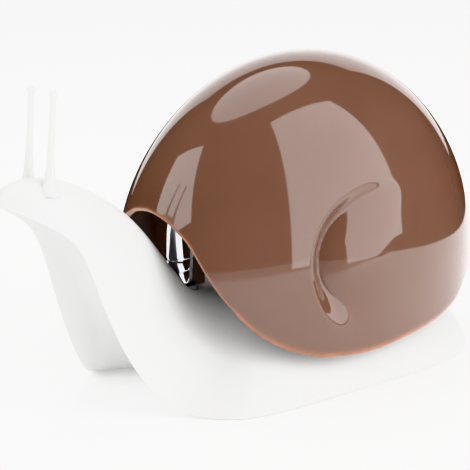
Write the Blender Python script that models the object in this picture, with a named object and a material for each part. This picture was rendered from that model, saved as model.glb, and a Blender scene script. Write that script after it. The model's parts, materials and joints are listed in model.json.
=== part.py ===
"""Snail-shaped soap dispenser: a push shell on a lotion pump, with the outlet under the snail's chin.

The snail looks along -Y, its left side is +X, +Z is up, and the feet stand on Z = 0.
Sizes are in millimetres here, and finish() turns each mesh into metres.
"""
import math

import bmesh
import bpy
from mathutils import Matrix, Vector

# ---------------------------------------------------------------- driving dimensions, millimetres
CENTRE_Y = 2.84           # the bounding box is centred this far along +Y in the numbers below

FLOOR_GAP = 0.5           # the rubber feet lift the body this far

SHELL_Y, SHELL_Z = 26.7, 31.9               # centre of the dome's ellipsoid
SHELL_RX, SHELL_RY, SHELL_RZ = 44.0, 67.3, 69.1
SHELL_LOW = 110.0         # below its widest level the dome tucks in slowly, as a longer ellipsoid
SHELL_WALL = 2.0
WHORL_Y, WHORL_Z, WHORL_R = 24.0, 42.0, 26.7   # middle and radius of the crease on the side
WHORL_BULGE = 0.0082      # how fast the inner whorl falls away from its top, per millimetre
WHORL_SHIFT = 4.0         # its top lies this far behind the crease's middle
WHORL_STEP = 5.5          # width of the step at the crease
BOSS_R = 9.0              # socket inside the dome that sits on the pump head
BOSS_WALL = 2.6
SOCKET_GAP = 0.3
BOSS_FOOT, BOSS_SHOULDER = 84.0, 97.2
BOSS_TOP = [(99.3, 6.0), (100.1, 2.5)]      # height, radius: the top melts into the dome
SLOT_SIZE = (9.6, 14.0, 10.4)               # where the spout pipe leaves the socket
SLOT_CENTRE = (0.0, 15.4, 85.0)
DOME_COLUMNS, DOME_ROWS = 72, 21
DOME_CROWD = 0.2                            # columns closer together on the whorls

PUMP_Y = 24.4             # the pump stands on the dome's vertical axis
ACTUATOR_TOP = 92.0
PIPE_Y = -22.5            # the chrome pipe comes down here, into the neck

BOTTLE_R = 28.5
BOTTLE_BOTTOM = 3.5
BOTTLE_SHOULDER = 46.0
BOTTLE_TOP = 66.0
BOTTLE_WALL = 1.4
NECK_R = 11.5             # bottle neck, outside

PLATE_BOTTOM, PLATE_TOP = 0.8, 3.2

FEELER_X = 5.4
FEELER_BASE = (-74.1, 73.2)                 # Y, Z of a feeler's root on the head
FEELER_TIP = (-72.1, 99.2)

# Stations of the body, nose to tail. Each row has the ridge point (Y, Z), the lower edge point
# (X, Y, Z), how far the ridge stays flat sideways, how far the edge keeps its slope, the slope in
# degrees, and the middle of the underside (Y, Z).
STATIONS = [
    (-88.3, 70.4, 1.2, -88.3, 69.3, 0.8, 0.5, 80, -88.2, 69.0),
    (-87.2, 72.6, 3.9, -86.8, 68.2, 2.6, 2.0, 80, -86.4, 68.5),
    (-83.5, 74.6, 6.4, -83.8, 66.4, 4.5, 3.6, 85, -82.4, 67.4),
    (-77.5, 75.2, 8.5, -79.0, 63.6, 6.0, 5.0, 90, -76.2, 65.9),
    (-70.0, 74.2, 10.3, -73.0, 59.7, 7.0, 6.0, 92, -68.8, 63.0),
    (-61.5, 71.0, 11.5, -68.5, 55.0, 8.0, 7.0, 92, -62.0, 58.3),
    (-53.0, 66.3, 12.0, -65.0, 47.5, 9.0, 8.5, 90, -55.5, 50.6),
    (-44.5, 60.0, 12.8, -61.5, 37.5, 10.0, 10.5, 85, -49.0, 39.8),
    (-36.0, 51.0, 14.2, -57.0, 25.5, 11.0, 12.0, 76, -42.0, 27.3),
    (-28.5, 41.5, 16.8, -51.0, 13.5, 12.0, 12.0, 68, -33.0, 14.6),
    (-21.5, 34.0, 22.0, -43.0, 3.8, 14.0, 12.0, 60, -23.5, 4.6),
    (-12.0, 30.5, 29.3, -36.0, FLOOR_GAP, 17.0, 11.0, 60, -18.0, FLOOR_GAP),
    (-2.0, 29.5, 36.6, -28.5, FLOOR_GAP, 21.0, 10.0, 64, -12.0, FLOOR_GAP),
    (10.0, 29.0, 39.8, -14.0, FLOOR_GAP, 23.0, 9.5, 72, -3.0, FLOOR_GAP),
    (22.0, 29.0, 40.4, 4.0, FLOOR_GAP, 24.0, 9.5, 76, 10.0, FLOOR_GAP),
    (38.0, 28.5, 40.4, 26.0, FLOOR_GAP, 24.0, 9.5, 77, 30.0, FLOOR_GAP),
    (54.0, 26.5, 40.0, 46.0, FLOOR_GAP, 23.0, 9.0, 76, 48.0, FLOOR_GAP),
    (68.0, 22.5, 37.4, 62.5, FLOOR_GAP, 21.0, 8.0, 74, 63.5, FLOOR_GAP),
    (77.6, 16.3, 30.4, 76.0, FLOOR_GAP, 16.5, 6.5, 70, 76.0, FLOOR_GAP),
    (83.8, 9.4, 18.2, 85.3, FLOOR_GAP, 9.5, 4.0, 66, 85.3, FLOOR_GAP),
    (88.6, 2.2, 2.2, 89.8, FLOOR_GAP, 1.2, 0.8, 62, 89.8, FLOOR_GAP),
]

# Roof of the hollow under the shell: Y, ridge Z, half-width at the floor, flat part of the roof.
HOLLOW = [
    (-13.5, 27.6, 28.0, 15.0),
    (-6.0, 27.0, 33.0, 19.0),
    (10.0, 26.6, 36.6, 22.0),
    (40.0, 26.0, 37.2, 22.5),
    (56.0, 23.5, 35.6, 20.0),
    (67.0, 19.5, 31.5, 16.0),
    (76.0, 14.0, 24.5, 11.0),
    (82.0, 8.5, 15.0, 7.0),
]

# Duct from that hollow up the neck to the head: Y, Z, half-width, half-height.
NECK_DUCT = [
    (-10.0, 12.5, 11.0, 8.0),
    (-22.5, 19.0, 10.0, 9.0),
    (-30.7, 28.5, 9.0, 8.2),
    (-38.7, 39.6, 8.0, 6.6),
    (-46.0, 50.4, 7.5, 5.4),
    (-54.0, 58.9, 7.0, 4.3),
    (-61.7, 64.9, 6.0, 3.5),
    (-69.4, 68.8, 5.4, 3.1),
    (-76.0, 70.4, 4.8, 2.7),
    (-81.2, 70.6, 4.4, 2.5),
]

# Rim of the dome: angle round the dome from the front, height.
RIM = [
    (0.0, 58.8), (9.0, 57.6), (17.4, 54.3), (23.5, 50.7), (27.5, 46.2), (32.3, 40.1),
    (38.8, 32.4), (47.0, 23.9), (57.3, 17.5), (69.7, 13.6), (82.2, 12.9), (97.6, 14.5),
    (112.5, 16.5), (124.5, 19.2), (132.7, 23.7), (155.0, 28.0), (180.0, 30.0),
]

# Chrome pipe: Y, Z along its bend, from the pump head down into the neck.
PIPE_BEND = [(12.0, 85.5), (2.0, 83.9), (-8.0, 79.0), (-16.5, 70.5), (-21.3, 60.0)]
PIPE_END = 22.0
PIPE_STEPS = [(41.9, 4.25), (38.1, 4.1), (31.5, 3.9), (PIPE_END, 2.8)]   # lower end of each step, radius

# Soap hose up the neck: Y, Z.
HOSE = [
    (-30.2, 25.4), (-33.9, 29.3), (-38.5, 37.0), (-45.3, 48.8), (-53.6, 58.2),
    (-61.7, 64.6), (-69.0, 68.9), (-74.2, 69.9),
]
HOSE_R, HOSE_BORE = 2.0, 1.3


# ---------------------------------------------------------------- helpers
def at(x, y, z):
    """A point of the shape, moved so that the bounding box's centre is over the origin."""
    return Vector((x, y - CENTRE_Y, z))


def clear_scene():
    for obj in list(bpy.data.objects):
        bpy.data.objects.remove(obj, do_unlink=True)


def material(name, colour, roughness, metallic=0.0, alpha=1.0):
    """A Principled material from an sRGB colour in 0 to 255."""
    mat = bpy.data.materials.new(name)
    mat.use_nodes = True
    shader = mat.node_tree.nodes["Principled BSDF"]
    linear = [((c / 255 + 0.055) / 1.055) ** 2.4 if c > 10 else c / 255 / 12.92 for c in colour]
    shader.inputs["Base Color"].default_value = (*linear, 1.0)
    shader.inputs["Roughness"].default_value = roughness
    shader.inputs["Metallic"].default_value = metallic
    shader.inputs["Alpha"].default_value = alpha
    return mat


def finish(name, mesh, mat, smooth_angle=40.0):
    """Link a mesh, turned from millimetres into metres, as a named object with its material."""
    mesh.transform(Matrix.Scale(0.001, 4))
    mesh.materials.clear()
    mesh.materials.append(mat)
    mesh.shade_smooth()
    mesh.set_sharp_from_angle(angle=math.radians(smooth_angle))
    obj = bpy.data.objects.new(name, mesh)
    bpy.context.collection.objects.link(obj)
    return obj


def mesh_from(name, rings, close=False):
    """Join rings of equal length into a closed mesh, with fans over both ends unless it is a loop."""
    bm = bmesh.new()
    loops = [[bm.verts.new(point) for point in ring] for ring in rings]
    count = len(loops[0])
    pairs = list(zip(loops, loops[1:]))
    if close:
        pairs.append((loops[-1], loops[0]))
    for low, high in pairs:
        for i in range(count):
            j = (i + 1) % count
            bm.faces.new((low[i], low[j], high[j], high[i]))
    if not close:
        for loop in (loops[0], loops[-1]):
            middle = bm.verts.new(sum((v.co for v in loop), Vector()) / count)
            for i in range(count):
                bm.faces.new((loop[i], loop[(i + 1) % count], middle))
    bmesh.ops.recalc_face_normals(bm, faces=bm.faces)
    mesh = bpy.data.meshes.new(name)
    bm.to_mesh(mesh)
    bm.free()
    return mesh


def smooth_rows(rows, count):
    """Rows resampled to count, along a monotone cubic through the given ones."""
    return [sample(rows, i * (len(rows) - 1) / (count - 1)) for i in range(count)]


def sample(rows, s, keys=None):
    """The rows at position s, by monotone cubic interpolation over keys (0, 1, 2 ... by default)."""
    keys = keys or list(range(len(rows)))
    k = max(i for i in range(len(keys) - 1) if keys[i] <= s or i == 0)
    width = keys[k + 1] - keys[k]
    t = (s - keys[k]) / width
    out = []
    for c in range(len(rows[0])):
        def slope(i):
            """The secant from row i to the next, or 0 beyond the ends."""
            return (rows[i + 1][c] - rows[i][c]) / (keys[i + 1] - keys[i])

        def tangent(i):
            if i == 0:
                return slope(0)
            if i == len(rows) - 1:
                return slope(i - 1)
            before, after = slope(i - 1), slope(i)
            return 0.0 if before * after <= 0 else 2 * before * after / (before + after)

        a, b = rows[k][c], rows[k + 1][c]
        ta, tb = tangent(k) * width, tangent(k + 1) * width
        out.append(a * (2 * t**3 - 3 * t**2 + 1) + ta * (t**3 - 2 * t**2 + t)
                   + b * (3 * t**2 - 2 * t**3) + tb * (t**3 - t**2))
    return tuple(out)


def bezier(points, t):
    weights = ((1 - t) ** 3, 3 * t * (1 - t) ** 2, 3 * t * t * (1 - t), t**3)
    return sum((Vector(p) * w for p, w in zip(points, weights)), Vector())


def circle(centre, radius, count, along=Vector((0, 0, 1))):
    """Points round a circle that faces a direction in the YZ plane; only an upright one starts at +X."""
    along = along.normalized()
    side = Vector((1, 0, 0))
    up = along.cross(side)
    step = 2 * math.pi / count
    shift = 0.0 if along.z == 1.0 else 0.5
    return [centre + radius * (side * math.cos((i + shift) * step) + up * math.sin((i + shift) * step))
            for i in range(count)]


def turned(name, profile, centre, count=28, along=Vector((0, 0, 1)), loop=False):
    """A turned piece: (distance along the axis, radius) pairs about an axis through centre.

    With loop the profile is a closed outline, so the piece is a ring or a tube.
    """
    rings = [circle(centre + along.normalized() * z, r, count, along) for z, r in profile]
    return mesh_from(name, rings, close=loop)


def tube(name, path, radii, bore, count=16):
    """A hollow tube along a path of points, one outside radius per point."""
    aim = [(path[min(i + 1, len(path) - 1)] - path[max(i - 1, 0)]) for i in range(len(path))]
    outside = [circle(p, r, count, d) for p, r, d in zip(path, radii, aim)]
    inside = [circle(p, bore, count, d) for p, d in zip(path, aim)]
    return mesh_from(name, outside + inside[::-1], close=True)


def smooth_path(points, steps):
    """Points along a Catmull-Rom curve through (Y, Z) pairs in the middle plane."""
    pts = [at(0, *p) for p in points]
    ends = [2 * pts[0] - pts[1]] + pts + [2 * pts[-1] - pts[-2]]
    out = []
    for a, b, c, d in zip(ends, ends[1:], ends[2:], ends[3:]):
        for i in range(steps):
            t = i / steps
            out.append(0.5 * (2 * b + (c - a) * t + (2 * a - 5 * b + 4 * c - d) * t**2
                              + (3 * b - 3 * c + d - a) * t**3))
    return out + [pts[-1]]


def combined(mesh, *operations):
    """The mesh after exact Booleans with (operation, other mesh) pairs, one after another."""
    for kind, other in operations:
        obj = bpy.data.objects.new("base", mesh)
        cutter = bpy.data.objects.new("cutter", other)
        for item in (obj, cutter):
            bpy.context.collection.objects.link(item)
        modifier = obj.modifiers.new("cut", "BOOLEAN")
        modifier.operation = kind
        modifier.solver = "EXACT"
        modifier.object = cutter
        flat = obj.modifiers.new("triangles", "TRIANGULATE")
        flat.min_vertices = 5
        bpy.context.view_layer.update()
        graph = bpy.context.evaluated_depsgraph_get()
        mesh = bpy.data.meshes.new_from_object(obj.evaluated_get(graph))
        for item in (obj, cutter):
            bpy.data.objects.remove(item, do_unlink=True)
    return mesh


def rod(y, z_low, z_high, radius, x=0.0, count=24):
    """An upright round bar."""
    profile = [(z_low, radius), (z_high, radius)]
    return turned("rod", profile, at(x, y, 0), count)


# ---------------------------------------------------------------- body
def body_ring(row, arch_points=9, under_points=5):
    """One slanted ring of the body: over the ridge from side to side, and back underneath."""
    ridge_y, ridge_z, edge_x, edge_y, edge_z, flat, keep, slope, under_y, under_z = row
    angle = math.radians(slope)
    rise = min(1.0, keep / (ridge_z - edge_z)) * 0.9
    over = [
        (0, ridge_y, ridge_z),
        (flat, ridge_y, ridge_z),
        (edge_x - keep * math.cos(angle), edge_y + (ridge_y - edge_y) * rise,
         edge_z + keep * math.sin(angle)),
        (edge_x, edge_y, edge_z),
    ]
    under = [
        over[3],
        (edge_x * 0.86, edge_y + 0.35 * (under_y - edge_y), edge_z + 0.35 * (under_z - edge_z)),
        (edge_x * 0.74, under_y, under_z),
        (0, under_y, under_z),
    ]
    half = [bezier(over, i / arch_points) for i in range(arch_points + 1)]
    half += [bezier(under, i / under_points) for i in range(1, under_points + 1)]
    ring = half + [Vector((-p.x, p.y, p.z)) for p in half[-2:0:-1]]
    return [at(*p) for p in ring]


def body_outside():
    return mesh_from("body", [body_ring(row) for row in smooth_rows(STATIONS, 37)])


def hollow():
    """The open space under the deck that the bottle and the pump stand in."""
    rings = []
    for y, ridge, half_width, flat in smooth_rows(HOLLOW, 10):
        over = [(0, y, ridge), (flat, y, ridge), (half_width - 1.8, y, 8.0), (half_width, y, -1.0)]
        half = [bezier(over, i / 5) for i in range(6)]
        ring = half + [Vector((-p.x, p.y, p.z)) for p in half[::-1][:-1]]
        rings.append([at(*p) for p in ring])
    return mesh_from("hollow", rings)


def neck_duct():
    rows = smooth_rows(NECK_DUCT, 13)
    rings = []
    for i, (y, z, half_width, half_height) in enumerate(rows):
        before, after = rows[max(i - 1, 0)], rows[min(i + 1, len(rows) - 1)]
        along = Vector((0, after[0] - before[0], after[1] - before[1])).normalized()
        up = along.cross(Vector((1, 0, 0)))
        ring = []
        for k in range(12):
            turn = 2 * math.pi * k / 12
            offset = Vector((half_width * math.cos(turn), 0, 0)) + up * half_height * math.sin(turn)
            ring.append(at(offset.x, y + offset.y, z + offset.z))
        rings.append(ring)
    return mesh_from("duct", rings)


POSTS = [(26.0, -4.0), (-26.0, -4.0), (23.0, 60.0), (-23.0, 60.0)]
POST_R = 4.0
PILOT_R, PILOT_TOP = 1.5, 13.0


def feeler_axis():
    """Root point offset and direction of a feeler, in the middle plane."""
    root, tip = Vector((0, *FEELER_BASE)), Vector((0, *FEELER_TIP))
    return root, (tip - root).normalized(), (tip - root).length


def make_body(mat):
    """The white snail body: hollow below, with a duct up the neck and screw posts inside."""
    inside = combined(hollow(), ("UNION", neck_duct()),
                      *[("DIFFERENCE", rod(y, PLATE_TOP + 0.3, 40, POST_R, x, 16)) for x, y in POSTS])
    root, along, _ = feeler_axis()
    cuts = [("DIFFERENCE", inside)]
    cuts += [("DIFFERENCE", rod(y, 0, PILOT_TOP, PILOT_R, x, 12)) for x, y in POSTS]
    cuts += [("DIFFERENCE", rod(PUMP_Y, 7, 45, BOTTLE_R + 0.8, count=40))]
    cuts += [("DIFFERENCE", rod(PIPE_Y, 15, 45, GLAND_R + 0.3, count=24))]
    cuts += [("DIFFERENCE", rod(NOZZLE_Y, 60, 69, NOZZLE_R + 0.3, count=16))]
    for side in (-1, 1):
        seat = turned("seat", [(-3.0, 1.1), (-0.8, 1.1), (-0.8, 2.5), (6.0, 2.5)],
                      at(side * FEELER_X, root.y, root.z), 16, along)
        cuts.append(("DIFFERENCE", seat))
    finish("body_shell", combined(body_outside(), *cuts), mat)


def make_feeler(name, side, mat):
    """A feeler: a peg, a flared foot, a thin stalk and a ball at the tip."""
    root, along, length = feeler_axis()
    ball = 1.3
    profile = [(-2.6, 0.8), (-0.5, 0.8), (-0.5, 2.1), (0.4, 2.0), (2.5, 1.55), (6.0, 1.2),
               (14.0, 1.0), (length - 1.0, 0.9)]
    turns = [math.radians(a) for a in (-38, -10, 20, 50, 75)]
    profile += [(length + 0.6 + ball * math.sin(a), ball * math.cos(a)) for a in turns]
    mesh = turned(name, profile, at(side * FEELER_X, root.y, root.z), 16, along)
    finish(name, mesh, mat)


# ---------------------------------------------------------------- base plate, feet, screws
FOOT_R, FOOT_TOP = 4.5, 1.5
FEET = {"foot_front_left": (27.0, 8.0), "foot_front_right": (-27.0, 8.0),
        "foot_rear_left": (16.0, 69.0), "foot_rear_right": (-16.0, 69.0)}


def make_base(plate_mat, rubber, steel):
    rings = []
    for y, _, half_width, _ in smooth_rows(HOLLOW, 10):
        y = max(-13.0, min(81.4, y))
        half = half_width - 2.0
        rings.append([at(x, y, z) for x, z in ((half, PLATE_BOTTOM), (half, PLATE_TOP),
                                               (-half, PLATE_TOP), (-half, PLATE_BOTTOM))])
    cuts = [("DIFFERENCE", rod(y, 0, FOOT_TOP + 0.3, FOOT_R + 0.3, x)) for x, y in FEET.values()]
    for x, y in POSTS:
        hole = [(0, 3.3), (1.9, 3.3), (1.9, 1.5), (5, 1.5)]
        cuts.append(("DIFFERENCE", turned("hole", hole, at(x, y, 0), 16)))
    finish("base_plate", combined(mesh_from("plate", rings), *cuts), plate_mat)

    for name, (x, y) in FEET.items():
        profile = [(0, FOOT_R - 0.4), (0.4, FOOT_R), (FOOT_TOP, FOOT_R)]
        finish(name, turned(name, profile, at(x, y, 0), 20), rubber)

    for i, (x, y) in enumerate(POSTS):
        profile = [(0.85, 2.6), (1.1, 3.0), (1.6, 3.0), (1.6, 1.2), (10.5, 1.2), (12.0, 0.4)]
        screw = turned("screw", profile, at(x, y, 0), 12)
        slots = []
        for turn in (0, 90):
            slot = bmesh.new()
            bmesh.ops.create_cube(slot, size=1.0)
            bmesh.ops.scale(slot, vec=(3.0, 0.6, 0.8), verts=slot.verts)
            bmesh.ops.rotate(slot, matrix=Matrix.Rotation(math.radians(turn), 3, "Z"), verts=slot.verts)
            bmesh.ops.translate(slot, vec=at(x, y, 0.85), verts=slot.verts)
            mesh = bpy.data.meshes.new("slot")
            slot.to_mesh(mesh)
            slot.free()
            slots.append(("DIFFERENCE", mesh))
        finish("base_screw_%d" % (i + 1), combined(screw, *slots), steel)


# ---------------------------------------------------------------- bottle and pump
NECK_BOTTOM = 56.0
HOUSING_BORE = 6.5
SPRING_LOW, SPRING_HIGH = 34.1, 51.7
BALL_Z, BALL_R = 29.9, 2.2
ACTUATOR_BOTTOM, ACTUATOR_R = 78.0, 8.5
SOCKET_Z = 85.5


def make_bottle(mat):
    outside = [(BOTTLE_BOTTOM, BOTTLE_R - 2.0), (BOTTLE_BOTTOM + 0.6, BOTTLE_R - 0.6),
               (BOTTLE_BOTTOM + 2.0, BOTTLE_R), (BOTTLE_SHOULDER - 6.0, BOTTLE_R)]
    for turn in (25, 50, 75):
        a = math.radians(turn)
        outside.append((BOTTLE_SHOULDER - 6.0 + 9.0 * math.sin(a), BOTTLE_R - 11.0 * (1 - math.cos(a))))
    outside += [(NECK_BOTTOM - 3.5, NECK_R + 1.5), (NECK_BOTTOM - 2.0, NECK_R), (BOTTLE_TOP, NECK_R)]
    inside = [(z + (BOTTLE_WALL if z < 20 else -0.4), max(r - BOTTLE_WALL, NECK_R - 2.0))
              for z, r in outside[1:-1]]
    inside = [(BOTTLE_BOTTOM + BOTTLE_WALL, 1.0)] + inside + [(BOTTLE_TOP, NECK_R - 2.0)]
    shell = turned("bottle", outside, at(0, PUMP_Y, 0), 32)
    space = turned("space", inside + [(BOTTLE_TOP + 2, NECK_R - 2.0)], at(0, PUMP_Y, 0), 32)
    finish("bottle", combined(shell, ("DIFFERENCE", space)), mat)


def make_pump(mats):
    """The pump's fixed pieces, its spring and its inlet ball."""
    axis = at(0, PUMP_Y, 0)
    gasket = [(66.3, NECK_R), (67.3, NECK_R), (67.3, 8.4), (66.3, 8.4)]
    finish("collar_gasket", turned("gasket", gasket, axis, 32, loop=True), mats["rubber"])

    collar = [(57.0, 14.0), (69.9, 14.0), (70.6, 13.3), (70.6, 7.3), (69.1, 7.3), (69.1, 11.8),
              (57.0, 11.8)]
    finish("pump_collar", turned("collar", collar, axis, 36, loop=True), mats["white"])

    housing = [(67.6, 11.3), (68.8, 11.3), (68.8, HOUSING_BORE), (33.8, HOUSING_BORE), (33.8, 1.7),
               (33.0, 1.7), (33.0, 2.8), (29.0, 2.8), (27.5, 1.2), (26.0, 1.2), (26.0, 2.7),
               (19.5, 2.7), (19.5, 3.7), (27.5, 3.7), (31.0, 8.0), (67.6, 8.0)]
    finish("pump_housing", turned("housing", housing, axis, 28, loop=True), mats["clear"])

    lock = [(60.6, 6.2), (68.9, 6.2), (69.1, 6.9), (71.5, 6.9), (71.5, 3.6), (60.6, 3.6)]
    finish("housing_lock_ring", turned("lock", lock, axis, 24, loop=True), mats["white"])

    dip = [(7.0, 2.4), (25.6, 2.4), (25.6, 1.7), (7.0, 1.7)]
    finish("dip_tube", turned("dip", dip, axis, 16, loop=True), mats["clear"])

    turns = [math.radians(a) for a in range(-75, 90, 25)]
    ball = [(BALL_Z + BALL_R * math.sin(a), BALL_R * math.cos(a)) for a in turns]
    finish("inlet_ball", turned("ball", ball, axis, 14), mats["steel"], 60)

    coils, wire, radius = 6.5, 0.5, 5.3
    steps = int(coils * 12)
    rings = []
    for i in range(steps + 1):
        a = 2 * math.pi * coils * i / steps
        rise = SPRING_LOW + wire + (SPRING_HIGH - SPRING_LOW - 2 * wire) * i / steps
        out = Vector((math.cos(a), math.sin(a), 0))
        centre = at(0, PUMP_Y, rise) + out * radius
        rings.append([centre + wire * (out * math.cos(t) + Vector((0, 0, 1)) * math.sin(t))
                      for t in (math.radians(72 * k) for k in range(5))])
    finish("pump_spring", mesh_from("spring", rings), mats["steel"])


def make_pump_head(mats):
    """The pieces that go down with a press: piston, stem, actuator and the chrome pipe."""
    axis = at(0, PUMP_Y, 0)
    stem = [(52.0, 3.1), (84.0, 3.1), (84.0, 1.6), (52.0, 1.6)]
    piston = [(52.0, 6.2), (53.5, 5.9), (58.5, 5.9), (60.0, 6.2), (60.0, 3.4), (52.0, 3.4)]
    head = [(ACTUATOR_BOTTOM, ACTUATOR_R), (ACTUATOR_TOP - 0.8, ACTUATOR_R),
            (ACTUATOR_TOP, ACTUATOR_R - 0.8)]
    back = Vector((0, -1, 0))
    bore = [(70.0, 3.4), (84.3, 3.4), (84.3, 1.8), (SOCKET_Z + 1.6, 1.8)]
    socket = [(0.0, 1.3), (4.0, 1.3), (4.0, 3.0), (12.0, 3.0)]
    head_mesh = combined(turned("head", head, axis, 32),
                         ("DIFFERENCE", turned("bore", bore, axis, 24)),
                         ("DIFFERENCE", turned("socket", socket, at(0, PUMP_Y, SOCKET_Z), 16, back)))

    path = [at(0, PUMP_Y - 4.3, SOCKET_Z), at(0, PUMP_Y - 8.8, SOCKET_Z),
            at(0, PUMP_Y - 8.9, SOCKET_Z)]
    radii = [2.7, 2.7, PIPE_STEPS[0][1]]
    bend = smooth_path(PIPE_BEND + [(PIPE_Y, 50.0)], 2)
    path += bend
    radii += [PIPE_STEPS[0][1]] * len(bend)
    for (low, radius), (_, following) in zip(PIPE_STEPS, PIPE_STEPS[1:] + [(0, 0)]):
        path.append(at(0, PIPE_Y, low))
        radii.append(radius)
        if following:
            path.append(at(0, PIPE_Y, low - 0.1))
            radii.append(following)

    finish("pump_stem", turned("stem", stem, axis, 20, loop=True), mats["clear"])
    finish("pump_piston", turned("piston", piston, axis, 24, loop=True), mats["clear"])
    finish("actuator", head_mesh, mats["white"])
    finish("spout_pipe", tube("pipe", path, radii, 1.6, 14), mats["chrome"])


# ---------------------------------------------------------------- neck gland, hose and nozzle
GLAND_R = 5.6
GLAND_TOP, GLAND_LOW = 33.6, 14.0
RING_Z = 24.2
NOZZLE_Y, NOZZLE_R = -78.2, 2.3
NOZZLE_LOW, NOZZLE_TOP = 64.6, 71.8


def make_outlet(mats):
    """The gland that the chrome pipe slides in, its seal, the hose and the nozzle in the mouth."""
    axis = at(0, PIPE_Y, 0)
    barrel = turned("barrel", [(GLAND_LOW, GLAND_R), (GLAND_TOP, GLAND_R)], axis, 28)
    start, end = at(0, *HOSE[0]), at(0, *HOSE[1])
    along = (end - start).normalized()
    barb = turned("barb", [(-6.0, 1.0), (3.5, 1.0)], start, 12, along)
    barb_bore = turned("bore", [(-9.0, 0.55), (5.0, 0.55)], start, 10, along)
    space = [(15.5, 3.1), (RING_Z - 0.9, 3.1), (RING_Z - 0.9, 4.4), (RING_Z + 0.9, 4.4),
             (RING_Z + 0.9, 3.1), (25.2, 3.1), (25.2, 4.45), (40.0, 4.45)]
    gland = combined(barrel, ("UNION", barb), ("DIFFERENCE", turned("space", space, axis, 28)),
                     ("DIFFERENCE", barb_bore))
    finish("gland", gland, mats["grey"])

    turns = [math.radians(72 * k) for k in range(5)]
    ring = [(RING_Z + 0.55 * math.sin(a), 3.65 + 0.55 * math.cos(a)) for a in turns]
    finish("gland_o_ring", turned("ring", ring, axis, 24, loop=True), mats["rubber"])

    path = smooth_path(HOSE, 2)
    hose = tube("hose", path, [HOSE_R] * len(path), HOSE_BORE, 10)
    finish("outlet_hose", hose, mats["clear"])

    mouth = at(0, NOZZLE_Y, 0)
    body = turned("nozzle", [(NOZZLE_LOW, NOZZLE_R - 0.5), (NOZZLE_LOW + 0.5, NOZZLE_R),
                             (NOZZLE_TOP, NOZZLE_R)], mouth, 20)
    hose_end = at(0, *HOSE[-1])
    back = (at(0, *HOSE[-2]) - hose_end).normalized()
    side = hose_end - back * (HOSE[-1][0] - NOZZLE_Y) / back.y
    barb = turned("barb", [(0.5, 1.0), (6.5, 1.0)], side, 12, back)
    bore = turned("bore", [(-0.5, 0.55), (8.0, 0.55)], side, 10, back)
    nozzle = combined(body, ("UNION", barb), ("DIFFERENCE", rod(NOZZLE_Y, 60, side.z + 0.3, 0.9)),
                      ("DIFFERENCE", bore))
    finish("mouth_nozzle", nozzle, mats["grey"])


# ---------------------------------------------------------------- shell cover
def smoothstep(low, high, value):
    t = max(0.0, min(1.0, (value - low) / (high - low)))
    return t * t * (3 - 2 * t)


def whorl(point):
    """How far the inner whorl lies below the dome's own side, at a point on the dome."""
    y, z = point.y - WHORL_Y, point.z - WHORL_Z
    radius = math.hypot(y, z)
    turn = math.atan2(z, -y)
    degrees = math.degrees(turn)
    crease = WHORL_R - 2.4 * smoothstep(10, 75, degrees) + 1.2 * smoothstep(-10, -55, degrees)
    share = smoothstep(-88, 5, degrees) * (1.0 - smoothstep(30, 122, degrees))
    lean = 2.0 * WHORL_SHIFT * max(0.0, math.cos(turn)) / (radius + 6.0)
    mound = WHORL_BULGE * share * radius**2 * (1.0 + lean)
    return mound * smoothstep(-0.2, WHORL_STEP, crease - radius) * smoothstep(8, 20, abs(point.x))


def dome_point(turn, lift, wall):
    """A point on the dome with its whorl, inside it by the wall."""
    tall = SHELL_RZ if lift > 0 else SHELL_LOW
    x = SHELL_RX * math.sin(turn) * math.cos(lift)
    y = SHELL_Y - SHELL_RY * math.cos(turn) * math.cos(lift)
    z = SHELL_Z + tall * math.sin(lift)
    point = Vector((x, y, z))
    normal = Vector((x / SHELL_RX**2, (y - SHELL_Y) / SHELL_RY**2, (z - SHELL_Z) / tall**2))
    return point - normal.normalized() * (whorl(point) + wall)


def make_shell(mat):
    """The brown dome: an open rim that arches over the neck, and a socket for the pump head."""
    sides = []
    for wall in (0.0, SHELL_WALL):
        turns, lows = [], []
        for i in range(DOME_COLUMNS):
            even = 2 * math.pi * i / DOME_COLUMNS
            turn = even + DOME_CROWD * math.sin(2 * even)
            rim = sample([(z,) for _, z in RIM], math.degrees(min(turn, 2 * math.pi - turn)),
                         [a for a, _ in RIM])[0]
            turns.append(turn)
            lows.append(math.asin((rim - SHELL_Z) / (SHELL_RZ if rim > SHELL_Z else SHELL_LOW)))
        sides.append([[at(*dome_point(turn, low + (math.pi / 2 - low) * (k / DOME_ROWS) ** 0.9, wall))
                       for turn, low in zip(turns, lows)] for k in range(DOME_ROWS)])
    dome = mesh_from("dome", sides[0][::-1] + sides[1])

    wide = BOSS_R + BOSS_WALL
    outline = [(BOSS_FOOT, wide), (BOSS_SHOULDER, wide)] + BOSS_TOP
    boss = turned("boss", outline, at(0, PUMP_Y, 0), 30)
    socket = rod(PUMP_Y, BOSS_FOOT - 4.0, ACTUATOR_TOP + SOCKET_GAP, BOSS_R, count=32)
    slot = bmesh.new()
    bmesh.ops.create_cube(slot, size=1.0)
    bmesh.ops.scale(slot, vec=SLOT_SIZE, verts=slot.verts)
    bmesh.ops.translate(slot, vec=at(*SLOT_CENTRE), verts=slot.verts)
    slot_mesh = bpy.data.meshes.new("slot")
    slot.to_mesh(slot_mesh)
    slot.free()
    cut_boss = combined(boss, ("DIFFERENCE", socket), ("DIFFERENCE", slot_mesh))
    finish("shell_cover", combined(dome, ("UNION", cut_boss)), mat)


def group_under(name, origin, members, parent=None):
    """An empty on a joint's axis, with the moving pieces under it."""
    empty = bpy.data.objects.new(name, None)
    empty.location = origin
    bpy.context.collection.objects.link(empty)
    if parent:
        empty.parent = parent
        empty.location = origin - parent.location
    for member in members:
        obj = bpy.data.objects[member]
        obj.parent = empty
        obj.matrix_parent_inverse = Matrix.Translation(origin).inverted()
    return empty


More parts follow.
